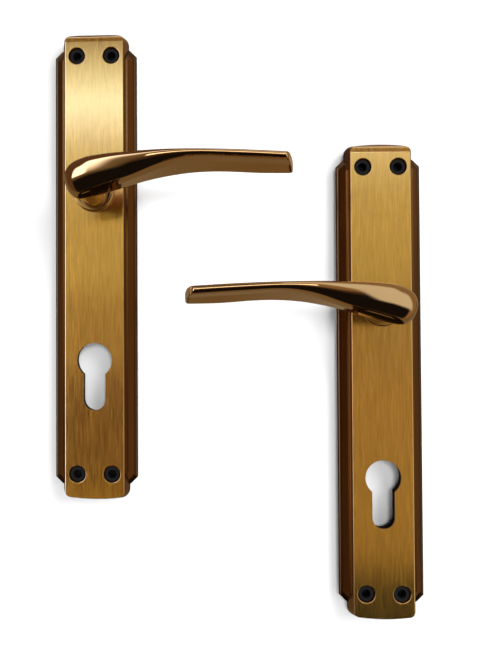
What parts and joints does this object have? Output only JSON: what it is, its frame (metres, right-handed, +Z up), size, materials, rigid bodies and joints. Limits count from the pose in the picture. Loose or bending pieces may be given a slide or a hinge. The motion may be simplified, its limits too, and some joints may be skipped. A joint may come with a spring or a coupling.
{
  "type": "pair of lever door handles on euro cylinder backplates",
  "caption": "Pair of mirrored bronze lever handles on long stepped backplates, with euro cylinder cut-outs, sprung levers and a square spindle.",
  "frame": {"origin": "left handle's spindle axis on the back plane of the plates, the face of the door", "axes": "+Z up, the levers and plate fronts face -Y, +X to the right seen from the front"},
  "size_m": [0.185, 0.1308, 0.2963],
  "materials": {
    "brushed_bronze": "brushed along the plate, lacquered bronze",
    "polished_bronze": "mirror polished dark bronze",
    "black_nylon": "moulded",
    "zinc_plated_steel": "bright zinc",
    "spring_steel": "oiled"
  },
  "bodies": {
    "plates": {"left_backplate": "brushed_bronze", "left_support_plate": "black_nylon", "left_neck_collar": "polished_bronze", "left_neck_bush": "black_nylon", "left_thrust_washer": "black_nylon", "left_spring_cassette": "zinc_plated_steel", "left_return_spring": "spring_steel", "left_cassette_screws": "zinc_plated_steel", "right_backplate": "brushed_bronze", "right_support_plate": "black_nylon", "right_neck_collar": "polished_bronze", "right_neck_bush": "black_nylon", "right_thrust_washer": "black_nylon", "right_spring_cassette": "zinc_plated_steel", "right_return_spring": "spring_steel", "right_cassette_screws": "zinc_plated_steel"},
    "left_lever_body": {"left_lever": "polished_bronze", "left_spring_driver": "zinc_plated_steel", "left_retaining_washer": "zinc_plated_steel", "left_circlip": "spring_steel", "spindle": "zinc_plated_steel"},
    "right_lever_body": {"right_lever": "polished_bronze", "right_spring_driver": "zinc_plated_steel", "right_retaining_washer": "zinc_plated_steel", "right_circlip": "spring_steel"}
  },
  "joints": [
    {"name": "left_lever_turn", "type": "hinge", "parent": "plates", "child": "left_lever_body", "pos_m": [0, 0, 0], "axis": [0, 1, 0], "range_deg": [0, 30], "stiffness_Nm_per_rad": 0.5, "springref_deg": -28.65, "deforming": ["left_return_spring"]},
    {"name": "right_lever_turn", "type": "hinge", "parent": "plates", "child": "right_lever_body", "pos_m": [0.143, 0, -0.0583], "axis": [0, -1, 0], "range_deg": [0, 30], "stiffness_Nm_per_rad": 0.5, "springref_deg": -28.65, "deforming": ["right_return_spring"]}
  ]
}
